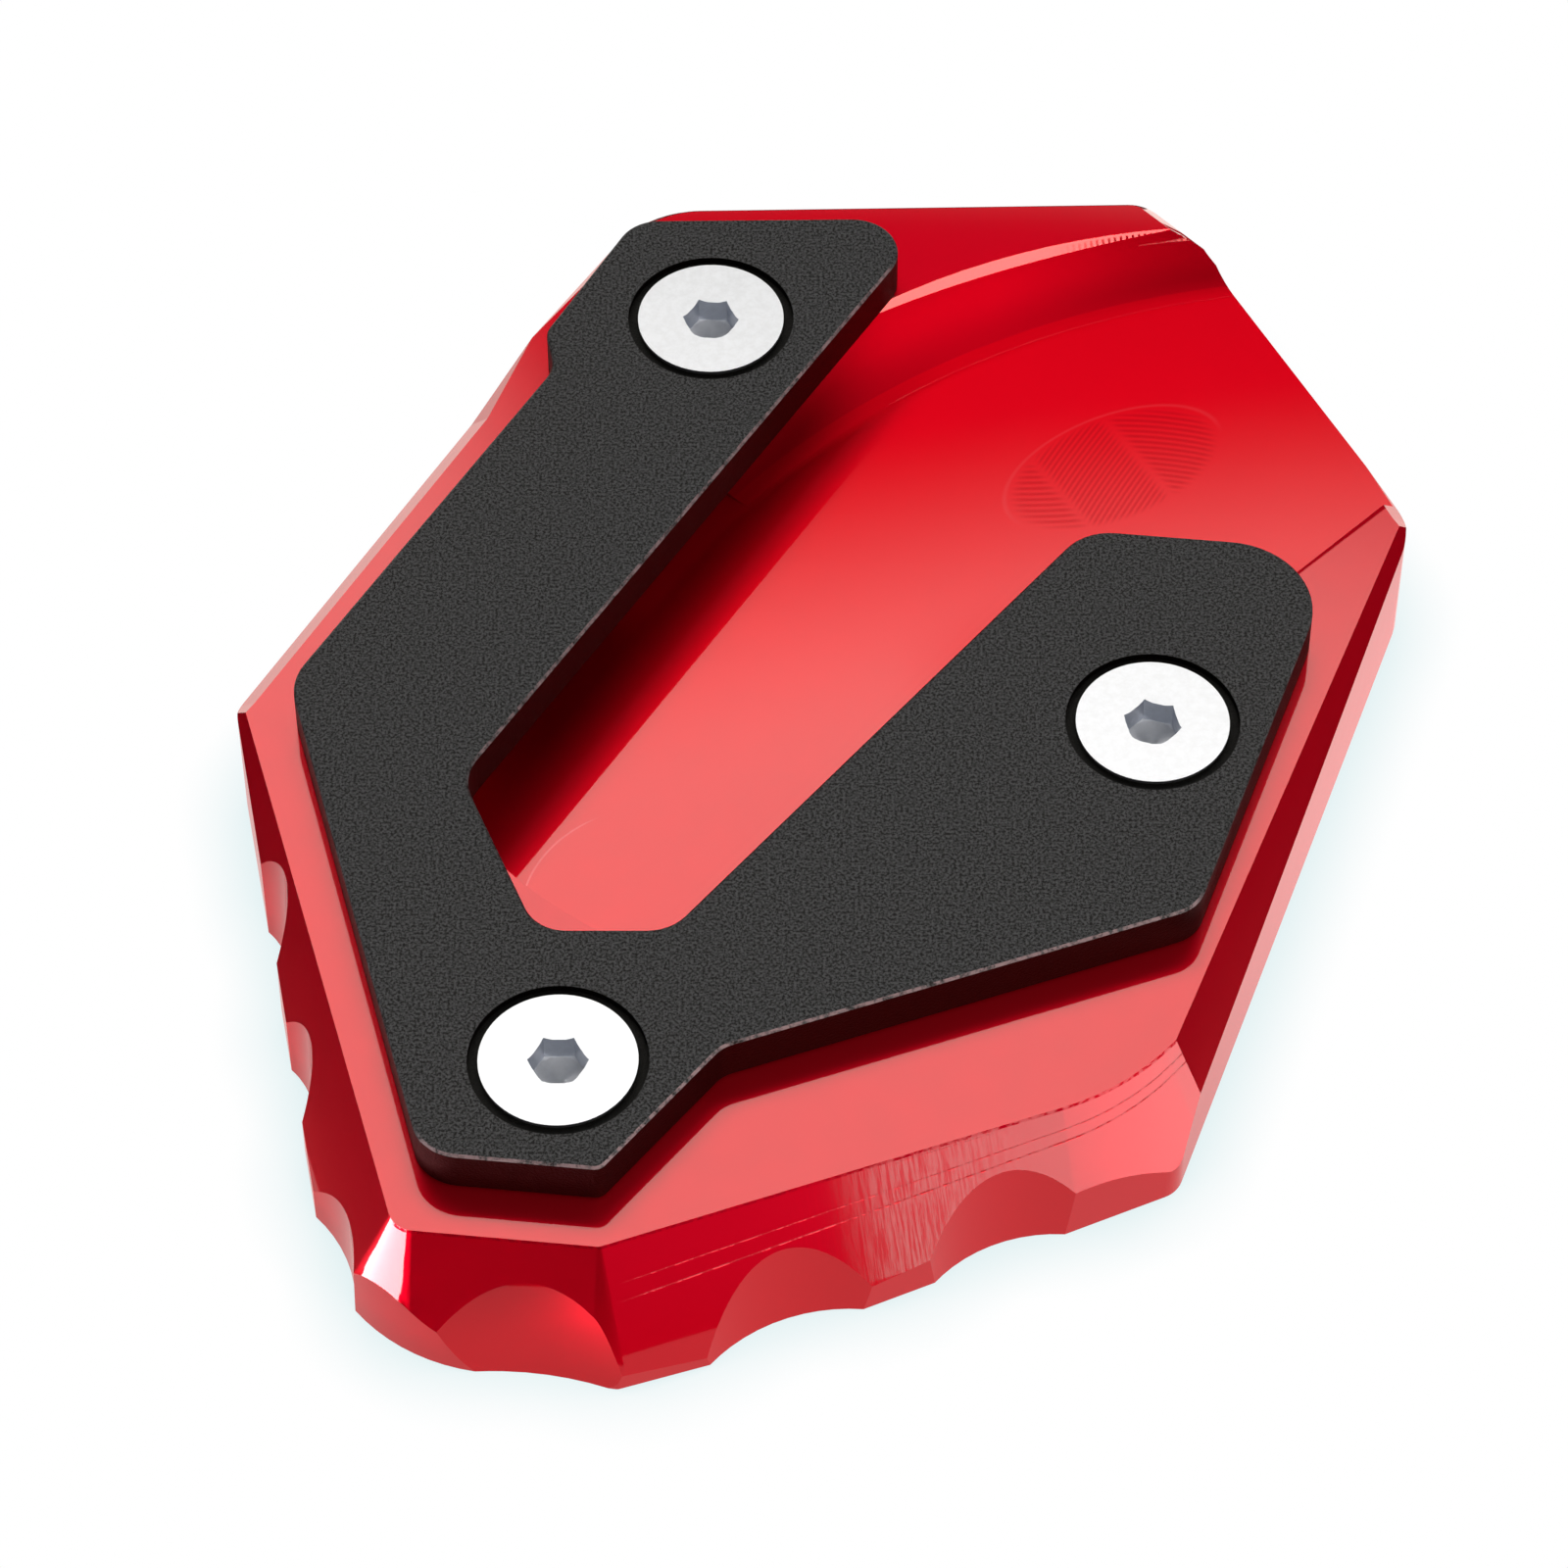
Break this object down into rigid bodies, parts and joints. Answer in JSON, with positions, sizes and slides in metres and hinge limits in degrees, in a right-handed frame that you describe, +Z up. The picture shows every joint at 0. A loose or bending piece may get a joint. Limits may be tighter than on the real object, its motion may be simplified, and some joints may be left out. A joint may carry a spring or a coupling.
{
  "type": "kickstand foot enlarger",
  "caption": "Bevelled foot plate with a sloping seat and a forked clamp plate, screwed round the end of a motorcycle side stand to spread its load on soft ground.",
  "frame": {"origin": "centre of the footprint's bounding box, on the flat underside that stands on the ground", "axes": "+Z up through the clamp plate; +Y from the toe towards the open back of the seat; +X to the right seen from above with the toe towards the viewer"},
  "size_m": [0.0938, 0.1124, 0.016],
  "materials": {
    "base": "glossy red anodised",
    "clamp": "blasted, matt black anodised",
    "screws": "bright machined"
  },
  "bodies": {
    "root": {"base_plate": "base", "clamp_plate": "clamp", "clamp_screw_back": "screws", "clamp_screw_right": "screws", "clamp_screw_toe": "screws"}
  },
  "joints": []
}
